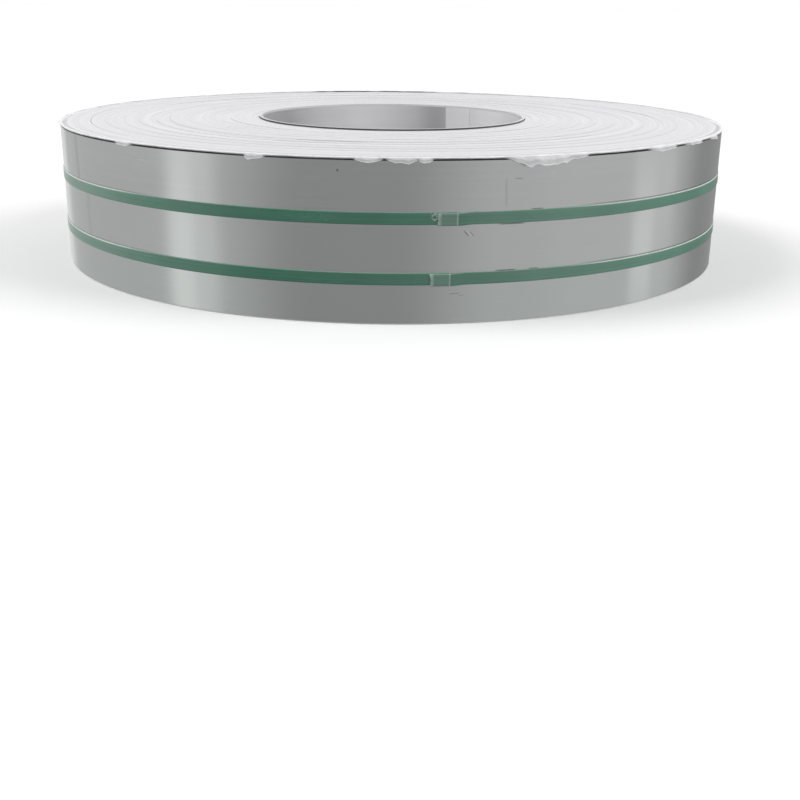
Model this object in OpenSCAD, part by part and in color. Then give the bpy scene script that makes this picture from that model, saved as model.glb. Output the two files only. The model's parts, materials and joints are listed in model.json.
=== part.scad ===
// Slit steel coil: thin strip wound round an open bore, lying on its end,
// held by two flat plastic straps, with a torn protective film lapped over its upper rim.
// Sizes are in millimetres. The coil's axis is Z, and z = 0 is the floor under its lower end.

/* [Strip] */
// Width of the slit strip, which is the height of the coil
strip_w = 250; // [140:1:600]
// Thickness of the strip, which is the step at each of its two free ends
strip_t = 0.6; // [0.3:0.1:0.9]

/* [Coil] */
// Outside diameter of the wound coil
coil_od = 1265; // [1000:1:1800]
// Diameter of the open bore
bore_d = 508; // [400:1:610]

/* [Free ends of the strip] */
// Azimuth of the outer end, in degrees
tail_az = 115; // [100:1:170]
// Azimuth of the inner end, in degrees
head_az = 63; // [0:1:359]

/* [Wound end faces] */
// Turns at the bore that lie flush with the coil
lead_turns = 2; // [2:1:6]
// Turns next to them that stand proud of the upper end
proud_turns = 10; // [4:1:20]
// Height by which those turns stand proud
proud_lift = 4; // [1:0.5:6]
// Bands of turns that show between the proud turns and the rim
band_count = 32; // [12:1:48]
// Step between the levels at which bands of turns end
band_step = 0.3; // [0.1:0.1:0.8]
// Step of the zone of turns that sits lower than the rest
zone_step = 1.2; // [0.4:0.1:2]
// Distance from the bore to the inner side of that zone
zone_from_bore = 176; // [60:1:190]
// Distance from the rim to the outer side of that zone
zone_from_rim = 60; // [20:1:90]

/* [Straps] */
// Width of a strap
strap_w = 19; // [9:1:32]
// Thickness of a strap
strap_t = 1; // [0.6:0.1:1.3]
// Distance from one strap's middle to the other's
strap_spacing = 92; // [60:1:110]
// Distance of the pair's middle below the coil's middle
strap_drop = 8; // [-10:1:12]
// Length of the welded overlap of a strap's two ends
weld_len = 30; // [20:1:60]
// Azimuth of the welds, in degrees
weld_az = -82.7; // [-110:0.1:-60]

/* [Edge film] */
// Thickness of the film
film_t = 0.4; // [0.3:0.1:1]
// Width of the film that lies on the upper end
film_top = 14; // [6:1:30]
// Distance by which the film sticks out past the rim
film_eave = 2.4; // [1.6:0.2:6]

/* [Hidden] */
$fn = 180;

// Clearance between the coil and what lies on it
seat_gap = 0.2;
// Length by which a cutting shape runs past the faces that it cuts
overcut = 2;
// Length over which a tight strap climbs the step at the strip's outer end
ramp_len = 30;
// Turns do not end level with each other: widths wander by the golden angle, lifts repeat in three levels
golden_angle = 137.5;
band_wander = 0.3;
level_angle = 73;
level_count = 3;

coil_r = coil_od / 2;
bore_r = bore_d / 2;
lead_r = bore_r + lead_turns * strip_t;
proud_r = lead_r + proud_turns * strip_t;
rim_lift = band_lift(band_count - 1);
rim_z = rim_lift + strip_w;
strap_mid_z = strip_w / 2 - strap_drop;

// Places where the film is folded down over the side: azimuth of the middle, arc in degrees, depth
film_laps = [
    [-130, 7, 5], [-110, 5, 6], [-89, 10, 8], [-69, 10, 10], [-47, 12, 6], [-27, 9, 9],
    [8, 14, 6], [52, 9, 9], [96, 16, 6], [141, 8, 10], [188, 12, 7]
];

// Bands of turns between the proud turns and the rim, numbered from the inside
function band_edge(i) =
    let (wander = i > 0 && i < band_count ? band_wander * sin(i * golden_angle) : 0)
    proud_r + (coil_r - proud_r) * (i + wander) / band_count;
function band_level(i) = floor(level_count * abs(sin(i * level_angle)));
function in_low_zone(r) = r > bore_r + zone_from_bore && r < coil_r - zone_from_rim;
function band_lift(i) =
    let (middle = (band_edge(i) + band_edge(i + 1)) / 2)
    (in_low_zone(middle) ? 0 : zone_step) + band_step * band_level(i);

// Each step is [outer radius, lift], from the bore to the rim
steps = concat(
    [[lead_r, 0], [proud_r, proud_lift]],
    [for (i = [0 : band_count - 2]) [band_edge(i + 1), band_lift(i)]],
    [[coil_r + overcut, rim_lift]]
);
function step_inner(k) = k > 0 ? steps[k - 1][0] : bore_r - overcut;

// Half the section before the bore and the outside are cut to their spirals:
// out along the lower end and back along the upper end, with the same lift on both
function section() = concat(
    [for (k = [0 : len(steps) - 1]) each [[step_inner(k), steps[k][1]], steps[k]]],
    [for (k = [len(steps) - 1 : -1 : 0])
        let (z = steps[k][1] + strip_w)
        each [[steps[k][0], z], [step_inner(k), z]]]
);

// Half of a disc whose centre is moved along X, on the +Y side before it is turned
module half_disc(r, move_x, turn) {
    intersection() {
        translate([move_x, 0]) circle(r = r);
        rotate(turn) translate([-2 * r, 0]) square([4 * r, 2 * r]);
    }
}

// Disc bounded by one turn of the strip, a spiral of two half circles. At azimuth 0 it stands
// strip_t proud of radius r, and it comes back to radius r after a full turn.
module turn_disc(r) {
    half_disc(r + strip_t * 3 / 4, strip_t / 4, 0);
    half_disc(r + strip_t / 4, -strip_t / 4, 180);
}

module coil() {
    tall = strip_w + proud_lift + 2 * overcut;
    color([0.72, 0.73, 0.73]) difference() {
        intersection() {
            rotate_extrude() polygon(section());
            translate([0, 0, -overcut]) rotate(tail_az) linear_extrude(tall) turn_disc(coil_r);
        }
        translate([0, 0, -overcut]) rotate(head_az) linear_extrude(tall) turn_disc(bore_r);
    }
}

// Disc bounded by a strap's face: the coil grown by a given amount,
// with a straight ramp up the step at the strip's outer end
module strap_disc(grow) {
    r = coil_r + grow;
    ramp = ramp_len / r * 180 / PI;
    rotate(tail_az) {
        turn_disc(r);
        polygon([[0, 0], (r - strip_t) * [cos(ramp), -sin(ramp)], [r + strip_t, 0]]);
    }
}

// Doubled stretch where the strap's two ends are welded together
module weld_disc() {
    reach = 2 * coil_r;
    half_width = reach * weld_len / coil_r / 2;
    intersection() {
        strap_disc(seat_gap + 2 * strap_t);
        rotate(weld_az) polygon([[0, 0], [reach, -half_width], [reach, half_width]]);
    }
}

module strap(middle_z) {
    color([0.22, 0.5, 0.4]) translate([0, 0, middle_z - strap_w / 2])
        linear_extrude(strap_w) difference() {
            union() {
                strap_disc(seat_gap + strap_t);
                weld_disc();
            }
            strap_disc(seat_gap);
        }
}

module upper_strap() {
    strap(strap_mid_z + strap_spacing / 2);
}

module lower_strap() {
    strap(strap_mid_z - strap_spacing / 2);
}

// Film folded down over the side of the coil, clear of the strip's outer end
module film_lap(azimuth, arc, depth) {
    lap_r = coil_r + strip_t + seat_gap;
    rotate(azimuth - arc / 2) rotate_extrude(angle = arc)
        translate([lap_r, rim_z - depth]) square([film_t, depth + seat_gap + film_t / 2]);
}

module edge_film() {
    color([0.93, 0.93, 0.94]) {
        rotate_extrude() translate([coil_r - film_top, rim_z + seat_gap])
            square([film_top + film_eave, film_t]);
        for (lap = film_laps) film_lap(lap[0], lap[1], lap[2]);
    }
}

coil();
upper_strap();
lower_strap();
edge_film();
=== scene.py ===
import json
import math
import bpy
import numpy as np
from mathutils import Matrix, Vector


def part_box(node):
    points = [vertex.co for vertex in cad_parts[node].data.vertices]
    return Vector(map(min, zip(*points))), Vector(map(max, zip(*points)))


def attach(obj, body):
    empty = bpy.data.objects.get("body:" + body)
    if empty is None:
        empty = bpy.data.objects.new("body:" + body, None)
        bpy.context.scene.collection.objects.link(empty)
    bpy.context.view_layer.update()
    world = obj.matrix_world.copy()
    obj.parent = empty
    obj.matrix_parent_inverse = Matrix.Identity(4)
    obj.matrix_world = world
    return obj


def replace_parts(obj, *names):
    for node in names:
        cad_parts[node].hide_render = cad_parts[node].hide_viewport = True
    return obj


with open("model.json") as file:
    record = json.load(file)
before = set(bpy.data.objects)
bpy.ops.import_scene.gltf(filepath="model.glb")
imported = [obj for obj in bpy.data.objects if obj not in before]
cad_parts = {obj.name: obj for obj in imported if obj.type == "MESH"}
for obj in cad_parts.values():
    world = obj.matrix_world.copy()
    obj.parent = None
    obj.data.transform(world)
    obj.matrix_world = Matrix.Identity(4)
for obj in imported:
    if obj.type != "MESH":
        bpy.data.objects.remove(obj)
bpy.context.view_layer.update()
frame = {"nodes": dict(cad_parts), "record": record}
mm = 0.001
record = frame["record"]
scene = bpy.context.scene
scene.view_settings.view_transform = "Standard"
print("frame loaded:", sorted(frame["nodes"]))

# sizes that every piece shares; the frame gives all but the thickness, the film's rise and the angles
boreMount = next(mount for mount in record["mounts"] if mount["name"] == "bore")
boreR = boreMount["dims"]["r_mm"] * mm
stripWidth = boreMount["dims"]["length_mm"] * mm
coilLow, coilHigh = (np.array(corner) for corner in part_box("coil"))
stripThick = 0.6 * mm
filmRise = 0.6 * mm  # the top of the film lies this far above the rim
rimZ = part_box("edge_film")[1].z - filmRise
rimR = (coilHigh[0] - coilLow[0] - stripThick) / 2  # the outside is a spiral from rimR to rimR + stripThick
tailAz = 115.0  # outer end of the strip, degrees from +X towards +Y
creaseAz = 49.5  # fold behind the strip's inner end
headAz = 63.0  # inner end of the strip
phaseSpan = 6.28  # random phases of waves, about a full turn


def smoothStep(x, low, high):  # 0 below low, 1 above high, a cubic between
    t = np.clip((x - low) / (high - low), 0, 1)
    return t * t * (3 - 2 * t)


def bell(x, wide):  # bell curve, 1 at x = 0
    return np.exp(-((x / wide) ** 2))


def angleFrom(azimuth, middle):  # signed angle from middle to azimuth, -180 to 180 degrees
    return np.mod(azimuth - middle + 180, 360) - 180


def spiralShare(azimuth, startAz):  # 1 at the strip's end, falling evenly to 0 a full turn further on
    return 1 - np.mod(azimuth - startAz, 360) / 360


def outerRadius(azimuth):  # rim radius plus the share of a strip thickness that is left at this azimuth
    return rimR + stripThick * spiralShare(azimuth, tailAz)


def ripple(azimuth, seed, waves, power=0.7):  # sum of sines, whole waves round the turn, about -1 to 1
    rng = np.random.default_rng(seed)
    total = np.zeros_like(azimuth)
    for count in waves:
        total = total + np.sin(np.radians(azimuth) * count + rng.uniform(0, phaseSpan)) / count**power
    return total / sum(1 / count**power for count in waves)


def polar(radius, azimuth, height):  # points from radius, azimuth in degrees and height, which broadcast
    radius, azimuth, height = np.broadcast_arrays(radius, np.radians(azimuth), height)
    return np.stack([radius * np.cos(azimuth), radius * np.sin(azimuth), height], axis=-1)


def gridQuads(rows, columns, wrapRows=False, wrapColumns=False):  # quads of a row-major grid of points
    rowStarts = np.arange(rows if wrapRows else rows - 1)
    columnStarts = np.arange(columns if wrapColumns else columns - 1)
    row, column = np.meshgrid(rowStarts, columnStarts, indexing="ij")
    nextRow, nextColumn = (row + 1) % rows, (column + 1) % columns
    corners = [row * columns + column, nextRow * columns + column]
    corners += [nextRow * columns + nextColumn, row * columns + nextColumn]
    return np.stack(corners, axis=-1).reshape(-1, 4)


# a smooth mesh from points and quads, with its materials and its point attributes
def makePiece(name, points, quads, materials, faceSlots=None, attributes=None):
    mesh = bpy.data.meshes.new(name)
    mesh.vertices.add(len(points))
    mesh.vertices.foreach_set("co", points.astype(np.float32).ravel())
    mesh.loops.add(quads.size)
    mesh.loops.foreach_set("vertex_index", quads.astype(np.int32).ravel())
    mesh.polygons.add(len(quads))
    mesh.polygons.foreach_set("loop_start", np.arange(0, quads.size, 4, dtype=np.int32))
    mesh.update(calc_edges=True)
    mesh.polygons.foreach_set("use_smooth", np.ones(len(quads), dtype=bool))
    for material in materials:
        mesh.materials.append(material)
    if faceSlots is not None:
        mesh.polygons.foreach_set("material_index", faceSlots.astype(np.int32))
    for key, values in (attributes or {}).items():
        layer = mesh.attributes.new(key, "FLOAT", "POINT")
        layer.data.foreach_set("value", values.astype(np.float32).ravel())
    piece = bpy.data.objects.new(name, mesh)
    scene.collection.objects.link(piece)
    return piece


def markSharp(mesh, columns, sharpRow, sharpColumn):  # sharp edges along chosen rows and columns of a grid
    ends = np.empty(len(mesh.edges) * 2, dtype=np.int32)
    mesh.edges.foreach_get("vertices", ends)
    row, column = np.divmod(ends.reshape(-1, 2), columns)
    alongRow, alongColumn = row[:, 0] == row[:, 1], column[:, 0] == column[:, 1]
    sharp = (alongRow & sharpRow[row[:, 0]]) | (alongColumn & sharpColumn[column[:, 0]])
    mesh.attributes.new("sharp_edge", "BOOLEAN", "EDGE").data.foreach_set("value", sharp)


# shader helpers
def put(tree, kind, inputs=(), **settings):  # one node; inputs are values or sockets, by name or number
    node = tree.nodes.new(kind)
    for key, value in settings.items():
        setattr(node, key, value)
    for key, value in dict(inputs).items():
        if isinstance(value, bpy.types.NodeSocket):
            tree.links.new(value, node.inputs[key])
        else:
            node.inputs[key].default_value = value
    return node


def math2(tree, operation, a, b=0.0):
    return put(tree, "ShaderNodeMath", {0: a, 1: b}, operation=operation).outputs[0]


def mixColour(tree, factor, a, b):  # from colour a to colour b; the numbers are the node's colour sockets
    return put(tree, "ShaderNodeMix", {0: factor, 6: a, 7: b}, data_type="RGBA").outputs[2]


def spread(tree, value, low, high, toLow, toHigh):  # value from low..high to toLow..toHigh, clamped
    inputs = {"Value": value, "From Min": low, "From Max": high, "To Min": toLow, "To Max": toHigh}
    return put(tree, "ShaderNodeMapRange", inputs).outputs["Result"]


def objectPlace(tree):
    return put(tree, "ShaderNodeTexCoord").outputs["Object"]


def attributeValue(tree, name):
    return put(tree, "ShaderNodeAttribute", attribute_name=name).outputs["Fac"]


noiseRange = (0.3, 0.7)  # where most of a noise lies


def noise(tree, place, scale, **more):
    return put(tree, "ShaderNodeTexNoise", {"Vector": place, "Scale": scale, **more}).outputs[0]


def fullRange(tree, value):  # a noise spread out to 0..1
    return spread(tree, value, *noiseRange, 0.0, 1.0)


def newGroup(name, inputs, outputs):  # shader group with float inputs and outputs
    group = bpy.data.node_groups.new(name, "ShaderNodeTree")
    for key, value in inputs.items():
        socket = group.interface.new_socket(key, in_out="INPUT", socket_type="NodeSocketFloat")
        socket.default_value = value
    for key in outputs:
        group.interface.new_socket(key, in_out="OUTPUT", socket_type="NodeSocketFloat")
    return group, group.nodes.new("NodeGroupInput").outputs, group.nodes.new("NodeGroupOutput").inputs


def putGroup(tree, group, inputs):
    node = tree.nodes.new("ShaderNodeGroup")
    node.node_tree = group
    for key, value in inputs.items():
        node.inputs[key].default_value = value
    return node.outputs


def newMaterial(name, **fixed):  # Principled material; fixed values go straight onto the shader's sockets
    material = bpy.data.materials.new(name)
    material.use_nodes = True
    shader = material.node_tree.nodes["Principled BSDF"]
    for key, value in fixed.items():
        shader.inputs[key.replace("_", " ")].default_value = value
    return material, material.node_tree, shader


def addBump(tree, shader, height, strength, distance):
    bump = put(tree, "ShaderNodeBump", {"Height": height, "Strength": strength, "Distance": distance})
    tree.links.new(bump.outputs[0], shader.inputs["Normal"])


print("helpers ready")


# shader groups
def buildRollGrain():  # streaks drawn out round the axis, and slow clouds, both 0 to 1
    inputs = {"Along": 2.0, "Across": 220.0, "Cloud Size": 5.0}
    tree, given, made = newGroup("roll grain", inputs, ("Streak", "Cloud"))
    place = objectPlace(tree)
    stretch = {0: given["Along"], 1: given["Along"], 2: given["Across"]}
    scale = put(tree, "ShaderNodeCombineXYZ", stretch).outputs[0]
    drawn = put(tree, "ShaderNodeVectorMath", {0: place, 1: scale}, operation="MULTIPLY").outputs[0]
    streak = noise(tree, drawn, 1.0, Detail=5.0, Roughness=0.65)
    cloud = noise(tree, place, given["Cloud Size"], Detail=3.0)
    tree.links.new(fullRange(tree, streak), made["Streak"])
    tree.links.new(fullRange(tree, cloud), made["Cloud"])
    return tree


def buildTurnLines():  # lines that follow the radius: single turns and wider bands of turns, both 0 to 1
    inputs = {"Turns": 900.0, "Bands": 60.0, "Drift": 0.002}
    tree, given, made = newGroup("turn lines", inputs, ("Turn", "Band"))
    flatten = {0: objectPlace(tree), 1: (1, 1, 0)}
    flat = put(tree, "ShaderNodeVectorMath", flatten, operation="MULTIPLY").outputs[0]
    radius = put(tree, "ShaderNodeVectorMath", {0: flat}, operation="LENGTH").outputs["Value"]
    drift = noise(tree, flat, 2.5, Detail=1.0)
    moved = math2(tree, "ADD", radius, math2(tree, "MULTIPLY", drift, given["Drift"]))
    for scale, name, detail in ((given["Turns"], "Turn", 2.0), (given["Bands"], "Band", 4.0)):
        along = {"W": math2(tree, "MULTIPLY", moved, scale), "Scale": 1.0, "Detail": detail}
        line = put(tree, "ShaderNodeTexNoise", along, noise_dimensions="1D").outputs[0]
        tree.links.new(fullRange(tree, line), made[name])
    return tree


def buildScuffs():  # sparse short scratches, 1 on a scratch
    look = dict(
        turn=(0.5, 0.3, 0.9), stretch=(1.0, 1.0, 9.0), width=0.012,
        patchSize=7.0, patchEdge=(0.82, 0.95),
    )
    tree, given, made = newGroup("scuffs", {"Size": 30.0, "Amount": 0.3}, ("Mask",))
    place = objectPlace(tree)
    turn = {"Vector": place, "Rotation": look["turn"], "Scale": look["stretch"]}
    turned = put(tree, "ShaderNodeMapping", turn).outputs[0]
    thread = noise(tree, turned, given["Size"], Detail=2.0, Distortion=0.6)
    patch = noise(tree, place, look["patchSize"], Detail=2.0)
    offThread = math2(tree, "ABSOLUTE", math2(tree, "SUBTRACT", thread, 0.5))
    line = spread(tree, offThread, 0.0, look["width"], 1.0, 0.0)
    where = spread(tree, math2(tree, "ADD", patch, given["Amount"]), *look["patchEdge"], 0.0, 1.0)
    tree.links.new(math2(tree, "MULTIPLY", line, where), made["Mask"])
    return tree


rollGrain, turnLines, scuffs = buildRollGrain(), buildTurnLines(), buildScuffs()


# materials
def mixGrain(tree, grain, streakShare):  # streaks and clouds of the roll grain, in shares that add up to 1
    streak = math2(tree, "MULTIPLY", grain["Streak"], streakShare)
    return math2(tree, "ADD", streak, math2(tree, "MULTIPLY", grain["Cloud"], 1 - streakShare))


def roughen(tree, shader, tone, rough, extra, amount):  # roughness by tone, and more of it by an extra mask
    more = math2(tree, "MULTIPLY", extra, amount)
    value = math2(tree, "ADD", spread(tree, tone, 0.0, 1.0, *rough), more)
    tree.links.new(value, shader.inputs["Roughness"])


def shortMark(tree, place, spot, slope, length, width):  # 1 on a straight soft mark on the front
    moved = put(tree, "ShaderNodeVectorMath", {0: place, 1: (spot[0], 0, spot[1])}, operation="SUBTRACT")
    turn = {"Vector": moved.outputs[0], "Angle": math.radians(slope)}
    turned = put(tree, "ShaderNodeVectorRotate", turn, rotation_type="Y_AXIS").outputs[0]
    part = put(tree, "ShaderNodeSeparateXYZ", {0: turned}).outputs
    along = spread(tree, math2(tree, "ABSOLUTE", part["X"]), length * 0.3, length * 0.5, 1.0, 0.0)
    across = spread(tree, math2(tree, "ABSOLUTE", part["Z"]), width * 0.2, width * 0.8, 1.0, 0.0)
    front = math2(tree, "LESS_THAN", part["Y"], 0.0)
    return math2(tree, "MULTIPLY", math2(tree, "MULTIPLY", along, across), front)


def makeSatinSteel():  # rolled face of the strip: satin, with faint streaks, a few marks and scratches, and painted shade
    look = dict(
        dark=(0.585, 0.597, 0.592, 1), pale=(0.625, 0.636, 0.632, 1),
        # the darkest tint serves both dark marks and painted shadow lines
        mark=(0.72, 0.73, 0.73, 1), soot=(0.16, 0.16, 0.17, 1),
        streakShare=0.4, scratchTint=0.35, rough=(0.14, 0.19), scratchRough=0.1, bump=(0.015, 0.0005),
        marks=(  # mm across and up, slope in degrees, length and width in mm, strength, tint
            (118.5, 140.0, -48, 12, 1.6, 0.7, "soot"),
            (122.5, 140.5, -48, 13, 1.6, 1.0, "mark"),
            (126.5, 139.5, -48, 12, 1.4, 0.5, "soot"),
            (103.0, 48.0, 4, 18, 1.4, 0.35, "soot"),
            (113.0, 45.0, 8, 10, 1.2, 0.3, "soot"),
            (-74.0, 233.0, 25, 4, 2.6, 0.8, "soot"),
            (196.0, 220.0, -3, 14, 1.6, 0.4, "soot"),
            (177.5, 199.0, -88, 50, 4.0, 0.14, "soot"),
            (-125.0, 56.0, 70, 3, 1.6, 0.8, "mark"),
            (188.0, 152.6, 0, 46, 1.6, 0.9, "soot"),  # painted shadow lines along the straps' edges
            (181.0, 81.4, 0, 36, 1.6, 0.9, "soot"),
            (470.0, 173.8, 0, 360, 2.0, 0.6, "soot"),
            (470.0, 81.8, 0, 360, 2.0, 0.6, "soot"),
            (-490.0, 173.8, 0, 260, 1.8, 0.3, "soot"),
            (-490.0, 81.8, 0, 260, 1.8, 0.3, "soot"),
            (-570.0, 220.0, 88, 90, 12.0, 0.22, "soot"),  # faint upright streaks of painted shade, standing in for dark reflection bands
            (-538.0, 212.0, 92, 120, 8.0, 0.2, "soot"),
            (-515.0, 115.0, 90, 110, 9.0, 0.1, "soot"),
            # painted shadow lines along the straps' edges
            (227.0, 173.4, 0, 22, 1.4, 0.8, "soot"),
            (225.0, 81.4, 0, 18, 1.4, 0.8, "soot"),
        ),
        # painted shadow under the film's hem: where it fades, how far it wanders, and patches where it is
        # faint
        rimShade=(1.6 * mm, 3.6 * mm), rimShadowStrength=0.9, rimWander=2.4 * mm, wanderSize=14.0,
        patchSize=5.0, patchEdge=(0.40, 0.55), patchFaint=0.4,
    )
    finish = dict(Metallic=1.0, Anisotropic=0.6, Anisotropic_Rotation=0.25)
    material, tree, shader = newMaterial("satin steel", **finish)
    grain = putGroup(tree, rollGrain, {"Along": 1.6, "Across": 160.0, "Cloud Size": 3.0})
    scratch = putGroup(tree, scuffs, {"Size": 24.0, "Amount": 0.26})["Mask"]
    tone = mixGrain(tree, grain, look["streakShare"])
    colour = mixColour(tree, tone, look["dark"], look["pale"])
    colour = mixColour(tree, math2(tree, "MULTIPLY", scratch, look["scratchTint"]), colour, look["mark"])
    place = objectPlace(tree)
    for across, up, slope, length, width, strength, tint in look["marks"]:
        mask = shortMark(tree, place, (across * mm, up * mm), slope, length * mm, width * mm)
        colour = mixColour(tree, math2(tree, "MULTIPLY", mask, strength), colour, look[tint])
    # painted shadow: a dark band under the film's hem, mixed into the steel's colour
    wander = math2(tree, "SUBTRACT", noise(tree, place, look["wanderSize"], Detail=3.0), 0.5)
    below = math2(tree, "SUBTRACT", rimZ, put(tree, "ShaderNodeSeparateXYZ", {0: place}).outputs["Z"])
    below = math2(tree, "ADD", below, math2(tree, "MULTIPLY", wander, look["rimWander"]))
    shade = spread(tree, below, *look["rimShade"], look["rimShadowStrength"], 0.0)
    patch = noise(tree, place, look["patchSize"], Detail=2.0)
    shade = math2(tree, "MULTIPLY", shade, spread(tree, patch, *look["patchEdge"], look["patchFaint"], 1.0))
    colour = mixColour(tree, shade, colour, look["soot"])
    tree.links.new(colour, shader.inputs["Base Color"])
    roughen(tree, shader, tone, look["rough"], scratch, look["scratchRough"])
    tangent = put(tree, "ShaderNodeTangent", direction_type="RADIAL", axis="Z").outputs[0]
    tree.links.new(tangent, shader.inputs["Tangent"])
    addBump(tree, shader, grain["Streak"], *look["bump"])
    return material


def makeSlitEdges():  # thousands of slit edges side by side: pale, with a line for every turn
    look = dict(
        dark=(0.52, 0.52, 0.535, 1), pale=(0.87, 0.865, 0.885, 1), band=(0.69, 0.685, 0.71, 1),
        lineShare=0.5, bandShare=0.55, rough=(0.38, 0.5), bump=(0.15, 0.0004),
    )
    material, tree, shader = newMaterial("slit edges", Metallic=0.75)
    lines = putGroup(tree, turnLines, {"Turns": 1100.0, "Bands": 70.0, "Drift": 0.002})
    grain = putGroup(tree, rollGrain, {"Along": 3.0, "Across": 3.0, "Cloud Size": 6.0})
    line = spread(tree, lines["Turn"], 0.0, look["lineShare"], 0.0, 1.0)
    turns = mixColour(tree, line, look["dark"], look["pale"])
    colour = mixColour(tree, math2(tree, "MULTIPLY", lines["Band"], look["bandShare"]), turns, look["band"])
    tree.links.new(colour, shader.inputs["Base Color"])
    tree.links.new(spread(tree, grain["Cloud"], 0.0, 1.0, *look["rough"]), shader.inputs["Roughness"])
    addBump(tree, shader, lines["Turn"], *look["bump"])
    return material


def makeGapShade():  # slit edges painted near black as shade, in the gaps and under the film
    look = dict(dark=(0.03, 0.03, 0.033, 1), pale=(0.16, 0.16, 0.17, 1), rough=(0.3, 0.5))
    material, tree, shader = newMaterial("painted gap shade", Metallic=0.3)
    lines = putGroup(tree, turnLines, {"Turns": 900.0, "Bands": 90.0, "Drift": 0.003})
    tree.links.new(mixColour(tree, lines["Turn"], look["dark"], look["pale"]), shader.inputs["Base Color"])
    tree.links.new(spread(tree, lines["Band"], 0.0, 1.0, *look["rough"]), shader.inputs["Roughness"])
    return material


def makeDullBore():  # inner face of the strip, with painted light and shade round the bore, from a point attribute
    look = dict(
        dark=(0.42, 0.42, 0.435, 1), pale=(0.96, 0.96, 0.975, 1),
        streakShare=0.4, grainShare=0.25, rough=(0.34, 0.46), scratchRough=0.2,
    )
    material, tree, shader = newMaterial("dull bore", Metallic=0.2)
    grain = putGroup(tree, rollGrain, {"Along": 3.0, "Across": 120.0, "Cloud Size": 6.0})
    scratch = putGroup(tree, scuffs, {"Size": 36.0, "Amount": 0.3})["Mask"]
    tone = mixGrain(tree, grain, look["streakShare"])
    uneven = math2(tree, "MULTIPLY", math2(tree, "SUBTRACT", tone, 0.5), look["grainShare"])
    shine = math2(tree, "ADD", attributeValue(tree, "boreLight"), uneven)
    tree.links.new(mixColour(tree, shine, look["dark"], look["pale"]), shader.inputs["Base Color"])
    roughen(tree, shader, tone, look["rough"], scratch, look["scratchRough"])
    return material


def makeStrapPlastic():  # green polyester strap: drawn lengthways, paler where it was welded and cut, and where light is painted on
    look = dict(
        dark=(0.022, 0.165, 0.098, 1), pale=(0.085, 0.330, 0.215, 1), white=(0.80, 0.90, 0.85, 1),
        streakShare=0.6, scratchTint=0.25, rough=(0.28, 0.4), whiteRough=0.2, bump=(0.2, 0.0003),
    )
    finish = dict(Metallic=0.0, IOR=1.58, Coat_Weight=0.4, Coat_Roughness=0.12)
    material, tree, shader = newMaterial("strap plastic", **finish)
    grain = putGroup(tree, rollGrain, {"Along": 1.6, "Across": 420.0, "Cloud Size": 7.0})
    scratch = putGroup(tree, scuffs, {"Size": 60.0, "Amount": 0.34})["Mask"]
    whiteAndLit = attributeValue(tree, "paleAndLit")
    tone = mixGrain(tree, grain, look["streakShare"])
    colour = mixColour(tree, tone, look["dark"], look["pale"])
    pale = math2(tree, "MAXIMUM", whiteAndLit, math2(tree, "MULTIPLY", scratch, look["scratchTint"]))
    tree.links.new(mixColour(tree, pale, colour, look["white"]), shader.inputs["Base Color"])
    roughen(tree, shader, tone, look["rough"], whiteAndLit, look["whiteRough"])
    addBump(tree, shader, grain["Streak"], *look["bump"])
    return material


def makeFilmPlastic():  # milky stretch film: clouded, creased, slightly see-through, with painted shade on its inner edge
    look = dict(
        dark=(0.86, 0.86, 0.875, 1), pale=(0.97, 0.97, 0.98, 1), edgeShade=(0.05, 0.05, 0.052, 1),
        rough=(0.25, 0.42), cover=(0.88, 0.99), thinning=0.5, bump=(0.3, 0.0008),
    )
    material, tree, shader = newMaterial("film plastic", Metallic=0.0)
    grain = putGroup(tree, rollGrain, {"Along": 60.0, "Across": 60.0, "Cloud Size": 40.0})
    milky = mixColour(tree, grain["Cloud"], look["dark"], look["pale"])
    colour = mixColour(tree, attributeValue(tree, "shadeMask"), milky, look["edgeShade"])
    tree.links.new(colour, shader.inputs["Base Color"])
    tree.links.new(spread(tree, grain["Streak"], 0.0, 1.0, *look["rough"]), shader.inputs["Roughness"])
    cover = spread(tree, grain["Cloud"], 0.0, 1.0, *look["cover"])
    missing = math2(tree, "MULTIPLY", attributeValue(tree, "thin"), look["thinning"])
    tree.links.new(math2(tree, "SUBTRACT", cover, missing), shader.inputs["Alpha"])
    addBump(tree, shader, grain["Streak"], *look["bump"])
    return material


satinSteel, slitEdges = makeSatinSteel(), makeSlitEdges()
gapShade, dullBore = makeGapShade(), makeDullBore()
strapPlastic, filmPlastic = makeStrapPlastic(), makeFilmPlastic()
print("materials made:", len(bpy.data.materials))


# coil
coilLook = dict(
    columns=300, columnShift=0.3, seam=0.002, boreRows=8, sideRows=20,  # shift and seam in degrees
    bandCount=32, subBands=3, wander=0.3, goldenAngle=137.5, levelAngle=73, levelCount=3,
    levelStep=0.3 * mm, zoneStep=1.2 * mm, zoneBase=0.7 * mm, zoneFromBore=176 * mm, zoneFromRim=60 * mm,
    leadTurns=2, proudTurns=10, proudLift=4 * mm,
    looseWidth=0.8 * mm, looseDepth=5 * mm,  # gaps between turns that have slackened
    gapOpen=(115, 150), gapSpread=(25, 85), gapShut=0.98,  # where two of them are open, and how they close
    sunkBands=2, sunkDepth=4 * mm,  # outermost turns, lower than the rest, under the film
    darkRows=(1, 2, 5, 6, 7),  # rows of the upper end that border the gaps beside the proud turns; they take the painted shade
    fineLift=0.07 * mm, bandWave=0.08 * mm, edgeWave=0.5 * mm, swayPhase=2.4, bobPhase=1.7,
    # slow dents of the side: seed and waves round the coil, radians over the height, fading at both rims
    sideWave=0.30 * mm, dentRipples=((3, (5, 9, 14, 22)), (4, (7, 12, 19, 27))),
    dentTurns=(4.0, 3.0), dentFade=0.12,
    # painted light and shade of the bore: base, then azimuth, spread and amount of stretches that are
    # brighter or duller
    shineBase=0.5, shines=((100, 24, 0.45), (36, 20, 0.5), (165, 30, -0.7), (68, 9, -0.45)),
)
sideSkin, endSkin, boreSkin, gapShadeSkin = range(4)  # order of the coil's materials


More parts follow.
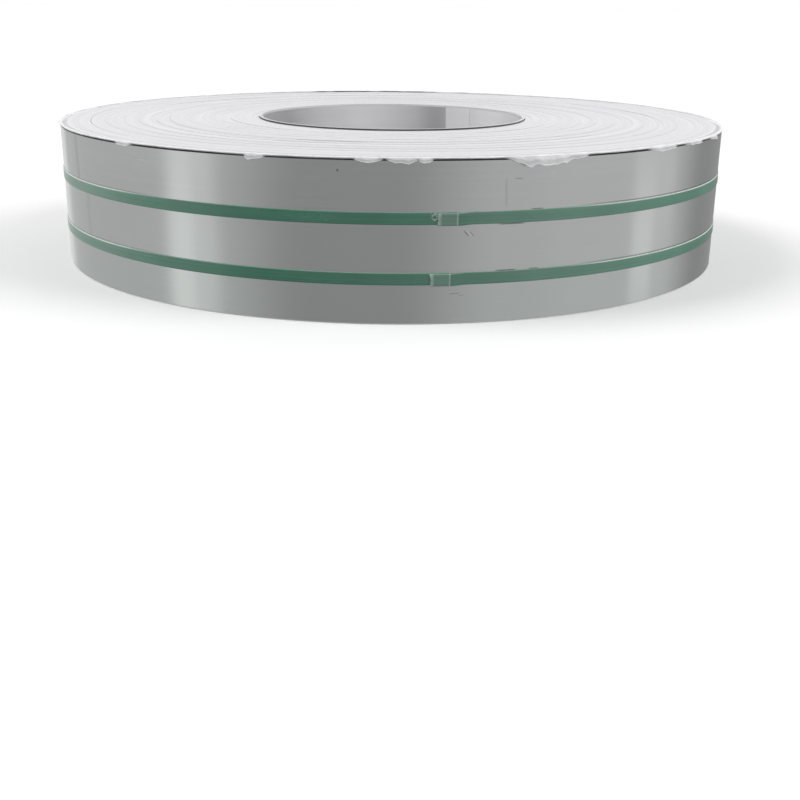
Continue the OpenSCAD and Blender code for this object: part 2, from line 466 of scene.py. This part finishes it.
def bandEdges(look):  # radius of each border between bands: even steps that wander by the golden angle
    proudR = boreR + (look["leadTurns"] + look["proudTurns"]) * stripThick
    i = np.arange(look["bandCount"] + 1)
    inside = (i > 0) & (i < look["bandCount"])
    wander = look["wander"] * np.sin(np.radians(i * look["goldenAngle"])) * inside
    return proudR + (rimR - proudR) * (i + wander) / look["bandCount"]


def bandLifts(look, edges, zoneBase):  # height of each band: a lower zone, and three levels by turns
    middle = (edges[1:] + edges[:-1]) / 2
    lowZone = (middle > boreR + look["zoneFromBore"]) & (middle < rimR - look["zoneFromRim"])
    angle = np.radians(np.arange(len(middle)) * look["levelAngle"])
    level = np.floor(look["levelCount"] * np.abs(np.sin(angle)))
    return np.where(lowZone, zoneBase, look["zoneStep"]) + look["levelStep"] * level


def endSteps(look, subBands, loose):  # inner radius, lift and waviness of every step of an end, bore first
    edges = bandEdges(look)
    lifts = bandLifts(look, edges, look["zoneBase"] if loose else 0)  # the lower end rests on its zone
    count = len(lifts) * subBands
    fine = np.arange(count)
    fineEdges = np.interp(np.arange(count + 1) / subBands, np.arange(len(edges)), edges)
    uneven = np.sin(fine * look["swayPhase"]) * (fine < count - 1) * (subBands > 1)
    fineLifts = np.repeat(lifts, subBands) + look["fineLift"] * uneven
    leadR, proudR = boreR + look["leadTurns"] * stripThick, edges[0]
    inner = np.concatenate([[boreR, leadR], fineEdges[:-1]])
    lift = np.concatenate([[0, look["proudLift"]], fineLifts])
    waving = np.concatenate([[0, 0], (fine > 0) & (fine < count - 1)])
    if loose:  # a narrow sunk step goes in on either side of the proud turns and of the zone
        zoneBorders = (boreR + look["zoneFromBore"], rimR - look["zoneFromRim"])
        borders = [leadR, proudR] + [edges[np.argmin(abs(edges - r))] for r in zoneBorders]
        at = np.array([np.argmin(abs(inner - r)) for r in borders])
        inner = np.insert(inner, at, inner[at])
        lift = np.insert(lift, at, lift[at] - look["looseDepth"])
        waving = np.insert(waving, at, 0)
        after = at + np.arange(len(at)) + 1
        inner[after] += look["looseWidth"]
        waving[after] = 0
        sunk = slice(-look["sunkBands"], None)
        lift[sunk], waving[sunk] = lift[-1] - look["sunkDepth"], 0
    return inner, lift, waving


def endRows(look, azimuth, subBands, loose):  # radius and lift of two rows for every step, by azimuth
    inner, lift, waving = endSteps(look, subBands, loose)
    k = np.arange(len(inner))[:, None]
    turn = np.radians(azimuth)[None, :]
    sway = look["edgeWave"] * np.sin((1 + k % 3) * turn + look["swayPhase"] * k) * waving[:, None]
    bob = look["bandWave"] * (1 + np.sin((1 + k % 2) * turn + look["bobPhase"] * k)) * waving[:, None]
    if loose:  # the two outer gaps stay open over one stretch each and are nearly shut elsewhere
        gaps = np.flatnonzero(lift[: -look["sunkBands"]] < 0)[-2:]
        away = np.abs(angleFrom(azimuth, np.array(look["gapOpen"])[:, None]))
        bob[gaps] += look["looseDepth"] * look["gapShut"] * smoothStep(away, *look["gapSpread"])
    innerR = inner[:, None] + sway
    innerR[0] += stripThick * spiralShare(azimuth, creaseAz)
    outerR = np.vstack([innerR[1:], outerRadius(azimuth)[None, :]])
    radius = np.stack([innerR, outerR], axis=1).reshape(-1, len(azimuth))
    return radius, np.repeat(lift[:, None] + bob, 2, axis=0)


def boreShine(look, azimuth):  # painted light and shade round the bore: a base and a bell for each stretch
    stretches = (amount * bell(angleFrom(azimuth, middle), wide) for middle, wide, amount in look["shines"])
    return sum(stretches, look["shineBase"])


def buildCoil(look):  # a closed grid: rows go up the bore, out over the upper end, down the side, in below
    even = np.arange(look["columns"]) * 360 / look["columns"]
    steps = np.array([tailAz, creaseAz])
    seams = np.concatenate([steps, steps - look["seam"]])
    azimuth = np.sort(np.concatenate([even + look["columnShift"], seams]))
    topR, topZ = endRows(look, azimuth, look["subBands"], True)
    baseR, baseZ = endRows(look, azimuth, 1, False)
    topZ, baseR, baseZ = topZ + stripWidth, baseR[::-1], baseZ[::-1]
    up = np.linspace(0, 1, look["boreRows"] + 2)[1:-1, None]
    boreZ = baseZ[-1] + (topZ[0] - baseZ[-1]) * up
    boreRadius = np.repeat(topR[:1], look["boreRows"], axis=0)
    down = np.linspace(0, 1, look["sideRows"] + 2)[1:-1, None]
    sideZ = topZ[-1] + (baseZ[0] - topZ[-1]) * down
    # slow dents of the outer turn: ripples round the coil that change over its height
    dent = ripple(azimuth, *look["dentRipples"][0]) * np.cos(look["dentTurns"][0] * down)
    dent = dent + ripple(azimuth, *look["dentRipples"][1]) * np.sin(look["dentTurns"][1] * down)
    fadeUp, fadeDown = smoothStep(down, 0, look["dentFade"]), smoothStep(1 - down, 0, look["dentFade"])
    sideRadius = outerRadius(azimuth) + look["sideWave"] * dent * fadeUp * fadeDown
    radius = np.vstack([boreRadius, topR, sideRadius, baseR])
    height = np.vstack([boreZ, topZ, sideZ, baseZ])
    rows, columns = radius.shape
    counts = [len(boreZ), len(topZ), len(sideZ), len(baseZ)]
    topStart, topEnd = counts[0], counts[0] + counts[1]
    kinds = np.repeat([boreSkin, endSkin, sideSkin, endSkin], counts)  # skin of the faces after each row
    kinds[[topStart - 1, -1]] = boreSkin
    kinds[topEnd - 1] = sideSkin
    # the gaps beside the proud turns and the sunk bands under the film take the painted shade
    kinds[topStart + np.array(look["darkRows"])] = gapShadeSkin
    kinds[topEnd - 2 * look["sunkBands"] - 1 : topEnd - 1] = gapShadeSkin
    points = polar(radius, azimuth[None, :], height).reshape(-1, 3)
    quads = gridQuads(rows, columns, True, True)
    skins = (satinSteel, slitEdges, dullBore, gapShade)
    boreLight = np.broadcast_to(boreShine(look, azimuth), radius.shape)
    piece = makePiece("wound_strip", points, quads, skins, np.repeat(kinds, columns), {"boreLight": boreLight})
    markSharp(piece.data, columns, np.repeat([False, True, False, True], counts), np.isin(azimuth, seams))
    return piece


coil = buildCoil(coilLook)
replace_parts(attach(coil, "root"), "coil")
print("coil:", len(coil.data.polygons), "faces, rim at", round(rimZ / mm, 2), "mm")


# inner end of the strip, creased and standing a little off the wall
innerEndLook = dict(
    columns=28, rows=40, border=0.0005, lift=2.4 * mm, lean=0.35, clear=0.05 * mm,
    # the inner end is painted paler than the bore wall, on the same scale as the bore's painted light
    buckle=0.25 * mm, buckleTurns=9, edgeWander=0.06, wanderTurns=14, boreLight=1.1,
)


def buildInnerEnd(look):  # leaves the bore wall at the crease, by the way along and its square
    along = np.concatenate([np.linspace(0, 1 - 4 * look["border"], look["columns"] - 1), [1]])[None, :]
    tight = np.linspace(look["border"], 1 - look["border"], look["rows"] - 2)
    up = np.concatenate([[0], tight, [1]])[:, None]  # tight border rows
    buckle = look["buckle"] * np.sin(look["buckleTurns"] * up + 1) * along
    off = look["lift"] * (look["lean"] * along + (1 - look["lean"]) * along**2)
    wander = look["edgeWander"] * np.sin(look["wanderTurns"] * up) * along
    radius = boreR - look["clear"] - off + buckle
    azimuth = creaseAz + (headAz - creaseAz) * along + wander
    points = polar(radius, azimuth, stripWidth * up).reshape(-1, 3)
    boreLight = np.full((look["rows"], look["columns"]), look["boreLight"])
    quads = gridQuads(look["rows"], look["columns"])
    piece = makePiece("inner_end", points, quads, (dullBore,), None, {"boreLight": boreLight})
    plate = piece.modifiers.new("thickness", "SOLIDIFY")
    plate.thickness, plate.offset, plate.use_even_offset = stripThick, -1.0, True
    return piece


innerEnd = buildInnerEnd(innerEndLook)
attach(innerEnd, "root")
print("inner end made")


# straps; angles along a strap are degrees passed from its start
strapLook = dict(
    width=19 * mm, thick=1 * mm, clear=0.3 * mm, crown=1.6 * mm, edge=0.35 * mm,
    facePoints=17, backPoints=5, roundingSteps=(0, 22, 45, 67, 90),
    stations=420, lapStations=110, leadStations=90, startAz=-81.3, lap=2.7, lapRamp=2.4, rampLength=30 * mm,
    lapGap=0.05 * mm, slip=1.6 * mm, sway=0.5 * mm, swayWaves=(1, 2, 3), fray=2.5 * mm, frayReach=0.5,
    # painted highlight along both edges; then whitening of the weld and of the lines at its ends
    edgeHighlight=0.2, edgeBand=0.8 * mm, weldWhite=0.12, lineWhite=0.6, brokenLow=0.4,
    startLine=(360.1, 0.09), endLine=(-0.5, -0.1),  # whitened lines at the two ends of the weld
    # stretches with painted light: strength, azimuth of one, how many, and how uneven they are
    paintedLight=0.17, paintedLightAz=-70, paintedLightTurns=5, paintedLightUneven=0.25, paintedLightWaves=(9, 17, 31),
    # upper edges that shine: strength, fading below the edge, azimuth and half width of each, side fading
    topLine=1.0, topBand=(2.0 * mm, 0.9 * mm), topLines=((-160, 34), (-32, 34)), topFade=0.4,
    # loose threads of the cut end: height, slope, waves and phase of each
    threadReach=1.2, threadRoom=1.2, threadWidth=0.8 * mm, threadWave=0.15, threadFade=0.5,
    threads=((-0.2, 0.3, 8, 1.0), (0.35, 0.5, 13, 2.3), (0.8, -0.35, 10, 4.1)),
)


def strapBase(azimuth, look):  # outside of the coil, with a straight climb up the step at the tail
    ramp = math.degrees(look["rampLength"] / rimR)
    onRamp = np.mod(azimuth - tailAz + ramp, 360)
    climb = np.clip(onRamp / ramp, 0, 1) * (onRamp < ramp)
    return rimR + stripThick * np.maximum(spiralShare(azimuth, tailAz), climb)


def strapSection(look):  # flat back, and a face that rounds off over the crown width to a thin edge
    half, thick, crown, edge = look["width"] / 2, look["thick"], look["crown"], look["edge"]
    turn = np.radians(look["roundingSteps"])
    flat = np.linspace(-half + crown, half - crown, look["facePoints"])[1:-1]
    lower, upper = -half + crown - crown * np.sin(turn[::-1]), half - crown + crown * np.sin(turn)
    rise = edge + (thick - edge) * np.cos(turn)
    out = np.concatenate([rise[::-1], np.full(len(flat), thick), rise, np.zeros(look["backPoints"])])
    up = np.concatenate([lower, flat, upper, np.linspace(half, -half, look["backPoints"])])
    return out, up


def strapPaleAndLit(look, passed, azimuth, up, rng, seed, frayed):  # 0 to 1, the sum of what whitens a strap, painted light and highlights included
    half = look["width"] / 2
    toEnd = 360 + look["lap"] - passed
    # painted highlight along both edges of the strap
    edges = look["edgeHighlight"] * smoothStep(np.abs(up), half - look["edgeBand"], half)[None, :]
    # the welded stretch, and a broken line at either end of it
    broken = look["brokenLow"] + (1 - look["brokenLow"]) * rng.uniform(0, 1, (len(passed), len(up)))
    lineAt, lineWide = look["startLine"]
    lines = np.maximum(bell(passed - lineAt, lineWide), smoothStep(-toEnd, *look["endLine"]))
    welded = look["weldWhite"] * (passed > 360) + look["lineWhite"] * lines * broken
    # painted light on stretches, a whole number of them round the coil
    paintedLit = look["paintedLight"] * (0.5 + 0.5 * np.cos(np.radians(look["paintedLightTurns"] * (azimuth - look["paintedLightAz"]))))
    uneven = look["paintedLightUneven"] * ripple(np.mod(azimuth, 360), seed + 2, look["paintedLightWaves"])
    paintedLit = paintedLit * (1 - look["paintedLightUneven"] + uneven)
    # stretches where the upper edge stands off and shines
    shine = np.zeros_like(azimuth)
    for middle, reach in look["topLines"]:
        off = np.abs(angleFrom(azimuth, middle))
        shine = np.maximum(shine, smoothStep(reach - off, 0, look["topFade"] * reach))
    bandLow, bandHigh = look["topBand"]
    shine = look["topLine"] * shine * smoothStep(up, half - bandLow, half - bandHigh)[None, :]
    # loose threads of the cut end
    torn = np.zeros_like(azimuth)
    gone = (passed - look["lap"]) / look["threadReach"]  # 0 at the cut end, 1 where threads stop
    for start, slope, waves, phase in look["threads"]:
        path = half * (start + slope * gone + look["threadWave"] * np.sin(waves * gone + phase))
        torn = np.maximum(torn, bell(up[None, :] - path, look["threadWidth"]))
    torn = frayed * torn * (gone > 0) * smoothStep(1 - gone, 0, look["threadFade"])
    return np.clip(edges + welded + paintedLit + shine + torn, 0, 1)


# the section follows the coil once round, clockwise, then climbs one thickness over its own start
def buildStrap(name, node, look, turned, seed, frayed):
    low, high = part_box(node)
    middleZ = (low.z + high.z) / 2
    out, up = strapSection(look)
    rng = np.random.default_rng(seed)
    dense = 360 - 2 * look["lapRamp"]
    lead = look["lap"] + look["threadRoom"] * look["threadReach"]
    stretches = [np.linspace(0, lead, look["leadStations"]), np.linspace(lead, dense, look["stations"])[1:]]
    stretches += [np.linspace(dense, 360 + look["lap"], look["lapStations"])[1:]]
    passed = np.concatenate(stretches)[:, None]
    over = smoothStep(passed, 360 - look["lapRamp"], 360)
    atEnd = smoothStep(-(360 + look["lap"] - passed), -look["frayReach"], 0)
    tear = np.degrees(look["fray"] / rimR) * rng.uniform(-1, 1, len(up))[None, :] * atEnd
    azimuth = look["startAz"] + turned - passed + tear
    climb = over * (look["thick"] + look["lapGap"])
    radius = strapBase(azimuth, look) + look["clear"] + climb + out[None, :]
    sway = look["sway"] * ripple(np.mod(azimuth, 360), seed + 1, look["swayWaves"])
    height = middleZ + up[None, :] + sway - look["slip"] * over
    paleAndLit = strapPaleAndLit(look, passed, azimuth, up, rng, seed, frayed)
    points = polar(radius, azimuth, height)
    # both ends close onto their own middle
    first, last = points[:1].mean(axis=1, keepdims=True), points[-1:].mean(axis=1, keepdims=True)
    points = np.concatenate([np.repeat(first, len(up), axis=1), points, np.repeat(last, len(up), axis=1)])
    paleAndLit = np.concatenate([paleAndLit[:1], paleAndLit, paleAndLit[-1:]])
    quads = gridQuads(len(points), len(up), False, True)[:, ::-1]
    return makePiece(name, points.reshape(-1, 3), quads, (strapPlastic,), None, {"paleAndLit": paleAndLit})


upperStrap = buildStrap("upper_band", "upper_strap", strapLook, turned=0.9, seed=11, frayed=0.9)
lowerStrap = buildStrap("lower_band", "lower_strap", strapLook, turned=0.0, seed=21, frayed=0.0)
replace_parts(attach(upperStrap, "root"), "upper_strap")
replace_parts(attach(lowerStrap, "root"), "lower_strap")
print("straps made")


# film
filmLook = dict(
    columns=2160, rows=22, topRows=0.3, thick=0.15 * mm, topReach=13 * mm, hem=3.3 * mm, nose=1.2 * mm,
    curl=150, hang=58, curlWander=25,  # degrees turned over the rim: plain, at a lobe, how much it varies
    reachWander=0.12, hemWander=0.35, stand=0.7 * mm,
    # height above the rim, share of the rows where it rises, plain and less where the edge is shaded, and
    # loss at a lobe
    loft=(0.5 * mm, 1.5 * mm), loftRows=(0.15, 0.1), lobeLoft=0.7,
    # seed, waves round the rim and power of each ripple
    hemRipple=(8, (17, 29, 47, 88), 0.3), reachRipple=(9, (5, 13, 27), 0.3),
    curlRipple=(10, (11, 23, 41), 0.3), loftRipple=(14, (4, 9, 19, 33), 0.4),
    shadeRipple=(15, (23, 41, 67), 0.3), shadeWander=0.5,
    lobes=(  # azimuth, arc in degrees, depth, lean to one side
        (-132, 5, 4 * mm, 0), (-108.6, 3.6, 7 * mm, 0.2), (-92.6, 4.6, 6 * mm, 0),
        (-88.3, 5, 7.5 * mm, 0.1), (-85, 2.6, 5 * mm, 0), (-69.5, 14, 14 * mm, 0.3),
        (-46, 9, 5 * mm, 0), (-36, 8, 4 * mm, -0.2), (-27.5, 6, 5 * mm, 0), (8, 14, 6 * mm, 0.2),
        (52, 9, 9 * mm, 0), (96, 16, 6 * mm, -0.3), (141, 8, 10 * mm, 0.1), (188, 12, 7 * mm, 0),
    ),
    lobeReach=1.05, lobeSide=0.8,  # in halves of a lobe's arc
    raggedness=0.35, raggedFolds=(7, (41, 73, 131, 197)), foldDepth=(0.3 * mm, 2.5 * mm),
    crease=1.3 * mm, plainCrease=0.10, plainSide=0.3, creaseSlant=1.5, creaseRows=0.12,
    # seed and counts of wide and fine folds, and the share of each
    wideFolds=(12, (67, 103, 171, 260)), fineFolds=(13, (190, 310, 420)), foldShares=(0.6, 0.4),
    shadedEdges=((97, 16, 0.9), (78, 42, 0.4)),  # inner edge with painted shade: azimuth, spread, strength
    lifted=1.3 * mm, shadeRows=(0.03, 0.11),
    thinTop=0.9, thinTopRows=(0.14, 0.27), thinLobeRows=(0.5, 0.7), whiteRows=(0.86, 0.97),
)


def creases(look, turn, along, seed, counts):  # folded ridges: mean of 1 - 2|sin| of slanted waves
    rng = np.random.default_rng(seed)
    total = 0
    for count in counts:
        slant, phase = rng.uniform(-1, 1), rng.uniform(0, phaseSpan)
        lean = slant * count * along / rimR / 2 * look["creaseSlant"]
        total = total + (1 - 2 * np.abs(np.sin(count * turn / 2 + lean + phase)))
    return total / len(counts)


def lobeDrop(look, azimuth, turn):  # how far the film hangs below its hem: the deepest lobe here, ragged
    drop = np.zeros_like(azimuth)
    for middle, arc, depth, lean in look["lobes"]:
        off = angleFrom(azimuth, middle) / (arc / 2)
        away = np.abs(off) / (1 + lean * np.sign(off))
        drop = np.maximum(drop, depth * smoothStep(look["lobeReach"] - away, 0, look["lobeSide"]))
    return drop * (1 + look["raggedness"] * creases(look, turn, 0, *look["raggedFolds"])[0])


def buildFilm(look):  # from the end over a rounded nose: curled under at the rim, hanging at the lobes
    azimuth = np.arange(look["columns"]) * 360 / look["columns"]
    turn = np.radians(azimuth)[None, :]
    drop = lobeDrop(look, azimuth, turn)
    folded = smoothStep(drop, *look["foldDepth"])
    hem = look["hem"] * (1 + look["hemWander"] * ripple(azimuth, *look["hemRipple"]))
    reach = look["topReach"] * (1 + look["reachWander"] * ripple(azimuth, *look["reachRipple"]))
    wander = look["curlWander"] * ripple(azimuth, *look["curlRipple"]) * (1 - folded)
    bend = np.radians(look["curl"] + (look["hang"] - look["curl"]) * folded + wander)
    low, high = look["loft"]
    raised = 0.5 + 0.5 * ripple(azimuth, *look["loftRipple"])
    loft = low + (high - low) * raised * (1 - look["lobeLoft"] * folded)
    # painted shade along the inner edge at the back; the same mask lifts the film there
    edgeShade = sum(amount * bell(azimuth - middle, wide) for middle, wide, amount in look["shadedEdges"])
    edgeShade = np.clip(edgeShade * (1 + look["shadeWander"] * ripple(azimuth, *look["shadeRipple"])), 0, 1)
    loft = loft + look["lifted"] * edgeShade
    # along is the way from the inner edge: over the end, round the nose by phi, then straight
    v = np.linspace(0, 1, look["rows"])[:, None]
    share = look["topRows"]
    along = np.where(v < share, v / share * reach, reach + (v - share) / (1 - share) * (hem + drop))
    past = np.maximum(along - reach, 0)
    phi = np.minimum(past / look["nose"], bend)
    straight = np.maximum(past - look["nose"] * bend, 0)
    radius = outerRadius(azimuth) + look["stand"] + np.minimum(along - reach, 0)
    radius = radius + look["nose"] * np.sin(phi) + straight * np.cos(bend)
    plainRows, shadedLoftRows = look["loftRows"]
    height = rimZ + loft * smoothStep(v, 0, plainRows - shadedLoftRows * edgeShade)
    height = height - look["nose"] * (1 - np.cos(phi)) - straight * np.sin(bend)
    # creases stand off the rim and the side, never into them
    wide = (creases(look, turn, along, *look["wideFolds"]) + 1) / 2
    fine = (creases(look, turn, along, *look["fineFolds"]) + 1) / 2
    wideShare, fineShare = look["foldShares"]
    deeper = look["plainCrease"] + (1 - look["plainCrease"]) * folded
    amount = look["crease"] * deeper * (wideShare * wide + fineShare * fine * folded)
    outward = look["plainSide"] + (1 - look["plainSide"]) * folded
    radius = radius + amount * np.sin(np.minimum(phi, np.pi / 2)) * outward
    height = height + amount * np.maximum(np.cos(phi), 0) * smoothStep(v, 0, look["creaseRows"])
    # painted shade on the inner edge; thin in the lobes, apart from the torn edge, and where it lies on the
    # end
    shadeMask = edgeShade * (1 - smoothStep(v, *look["shadeRows"]))
    thin = folded * smoothStep(v, *look["thinLobeRows"]) * (1 - smoothStep(v, *look["whiteRows"]))
    thin = np.maximum(thin, look["thinTop"] * (1 - smoothStep(v, *look["thinTopRows"]))) * (1 - shadeMask)
    points = polar(radius, azimuth[None, :], height).reshape(-1, 3)
    quads = gridQuads(look["rows"], look["columns"], False, True)
    piece = makePiece("edge_film_sheet", points, quads, (filmPlastic,), None, {"thin": thin, "shadeMask": shadeMask})
    sheet = piece.modifiers.new("thickness", "SOLIDIFY")
    sheet.thickness, sheet.offset = look["thick"], 1.0
    return piece, float((reach + hem + drop).mean())


film, filmWidth = buildFilm(filmLook)
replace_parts(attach(film, "root"), "edge_film")
print("film made, mean width", round(filmWidth / mm, 1), "mm")


# room
roomLook = dict(
    floorHalf=60.0, floorPoints=9, floorTone=0.92, floorMottle=0.01, mottleSize=3.0, floorGlow=0.07,
    # dim light: from above, from below, share of it from the front, and where these change
    skyLight=0.72, groundLight=0.34, frontShare=0.35, skyEdge=(-0.1, 0.1), frontEdge=(-0.9, 0.3),
    suns=((-175, 46, 1.3), (-12, 36, 1.25)), sunAngle=35,  # azimuth and elevation it comes from, strength
    domeRadius=40.0, domeLow=-89, domeHigh=35, domeRows=125, domeColumns=360,
    wallTone=0.58, wallTop=(-3, 8),
    cast=(0.945, 1.0, 0.975, 1), castLow=(-24, -16), castHigh=(8, 15),  # faint green light from low down
    cards=(  # azimuth, elevation, half width, half height in degrees, softness of its sides, change of tone
        (-158, -12, 10, 30, 4, 0.20), (-162, -13, 4.5, 5, 2, 0.20), (-102, -10, 32, 40, 18, -0.23),
        (3, -11, 5.5, 2.6, 1.2, 0.30), (14, -8, 5, 2.2, 2, 0.12), (-8, -12, 30, 40, 12, 0.05),
        (52, -10, 24, 30, 14, -0.26), (112, -10, 13, 30, 5, 0.22),
    ),
)


def buildFloor(look):  # a flat grid, seen by the camera but not in the steel
    side = np.linspace(-look["floorHalf"], look["floorHalf"], look["floorPoints"])
    x, y = np.meshgrid(side, side)
    points = np.stack([x, y, np.zeros_like(x)], axis=-1).reshape(-1, 3)
    material, tree, shader = newMaterial("pale floor", Metallic=0.0, Roughness=0.9, Specular_IOR_Level=0.0)
    mottle = noise(tree, objectPlace(tree), look["mottleSize"])
    tone = spread(tree, mottle, *noiseRange, look["floorTone"] - look["floorMottle"], look["floorTone"])
    grey = put(tree, "ShaderNodeCombineColor", {0: tone, 1: tone, 2: tone}).outputs[0]
    tree.links.new(grey, shader.inputs["Base Color"])
    seen = put(tree, "ShaderNodeLightPath").outputs["Is Camera Ray"]
    tree.links.new(math2(tree, "MULTIPLY", seen, look["floorGlow"]), shader.inputs["Emission Strength"])
    shader.inputs["Emission Color"].default_value = (1, 1, 1, 1)
    quads = gridQuads(look["floorPoints"], look["floorPoints"])[:, ::-1]
    floor = makePiece("floor", points, quads, (material,))
    floor.visible_glossy = floor.visible_diffuse = False  # the strip mirrors the cards instead
    return floor


def makeCardLight(look):  # light of the shell by its own attributes: strength, and the green cast low down
    material = bpy.data.materials.new("card light")
    material.use_nodes = True
    tree = material.node_tree
    tree.nodes.clear()
    colour = mixColour(tree, attributeValue(tree, "low"), (1, 1, 1, 1), look["cast"])
    light = put(tree, "ShaderNodeEmission", {"Color": colour, "Strength": attributeValue(tree, "tone")})
    tree.links.new(light.outputs[0], put(tree, "ShaderNodeOutputMaterial").inputs["Surface"])
    return material


def buildCards(look):  # far shell with a soft-sided card at each listed direction, added to the wall tone
    azimuth = np.arange(look["domeColumns"])[None, :] * 360.0 / look["domeColumns"]
    elevation = np.linspace(look["domeLow"], look["domeHigh"], look["domeRows"])[:, None]
    sky = smoothStep(elevation, *look["wallTop"])  # white above the walls
    tone = look["wallTone"] + (1 - look["wallTone"]) * sky
    for az, el, wide, high, soft, change in look["cards"]:
        across = smoothStep(wide + soft - np.abs(angleFrom(azimuth, az)), 0, 2 * soft)
        upright = np.exp(-(((elevation - el) / high) ** 2) / 2)
        tone = tone + change * across * upright * (1 - sky)
    low = smoothStep(-elevation, *look["castHigh"]) * smoothStep(elevation, *look["castLow"])
    rise = np.radians(elevation)
    points = polar(look["domeRadius"] * np.cos(rise), azimuth, look["domeRadius"] * np.sin(rise))
    quads = gridQuads(*points.shape[:2], False, True)
    attributes = {"tone": tone, "low": np.broadcast_to(low, tone.shape)}
    shell = makePiece("cards", points.reshape(-1, 3), quads, (makeCardLight(look),), None, attributes)
    for ray in ("camera", "diffuse", "transmission", "shadow", "volume_scatter"):
        setattr(shell, "visible_" + ray, False)
    return shell


def buildWorld(look):  # white where seen or mirrored, else a dim light, weaker from below and in front
    world = bpy.data.worlds.new("studio")
    scene.world = world
    world.use_nodes = True
    tree = world.node_tree
    path = put(tree, "ShaderNodeLightPath").outputs
    seen = math2(tree, "MAXIMUM", path["Is Camera Ray"], path["Is Glossy Ray"])
    seen = math2(tree, "MAXIMUM", seen, path["Is Transmission Ray"])
    direction = put(tree, "ShaderNodeTexCoord").outputs["Generated"]
    way = put(tree, "ShaderNodeSeparateXYZ", {0: direction}).outputs
    fromAbove = spread(tree, way["Z"], *look["skyEdge"], look["groundLight"], look["skyLight"])
    fromBehind = spread(tree, way["Y"], *look["frontEdge"], look["frontShare"], 1.0)
    strength = math2(tree, "MAXIMUM", seen, math2(tree, "MULTIPLY", fromAbove, fromBehind))
    tree.links.new(strength, tree.nodes["Background"].inputs["Strength"])
    tree.nodes["Background"].inputs["Color"].default_value = (1, 1, 1, 1)


def buildSuns(look):  # a soft lamp that shines from each listed direction
    for number, (azimuth, elevation, strength) in enumerate(look["suns"]):
        rise = math.radians(elevation)
        toSun = Vector(polar(math.cos(rise), azimuth, math.sin(rise)))
        lamp = bpy.data.lights.new("soft sun %d" % number, "SUN")
        lamp.energy, lamp.angle = strength, math.radians(look["sunAngle"])
        holder = bpy.data.objects.new(lamp.name, lamp)
        holder.visible_glossy = False  # the strip mirrors only the room
        holder.rotation_euler = toSun.to_track_quat("Z", "Y").to_euler()
        scene.collection.objects.link(holder)


buildFloor(roomLook)
buildCards(roomLook)
buildWorld(roomLook)
buildSuns(roomLook)
print("room made")

# camera
cameraLook = dict(
    place=(21.6 * mm, -2323.9 * mm, 470.8 * mm), pitch=19.321, roll=0.615,  # angles in degrees
    focalPixels=1143.2, imagePixels=800, sensorWidth=36,
)
camera = bpy.data.cameras.new("photo view")
camera.sensor_width = cameraLook["sensorWidth"]
camera.lens = cameraLook["focalPixels"] / cameraLook["imagePixels"] * camera.sensor_width
holder = bpy.data.objects.new("photo view", camera)
tilt = Matrix.Rotation(math.radians(90 - cameraLook["pitch"]), 4, "X")
tilt = tilt @ Matrix.Rotation(math.radians(cameraLook["roll"]), 4, "Z")
holder.matrix_world = Matrix.Translation(cameraLook["place"]) @ tilt
scene.collection.objects.link(holder)
scene.camera = holder
print("camera placed")

bpy.context.view_layer.update()
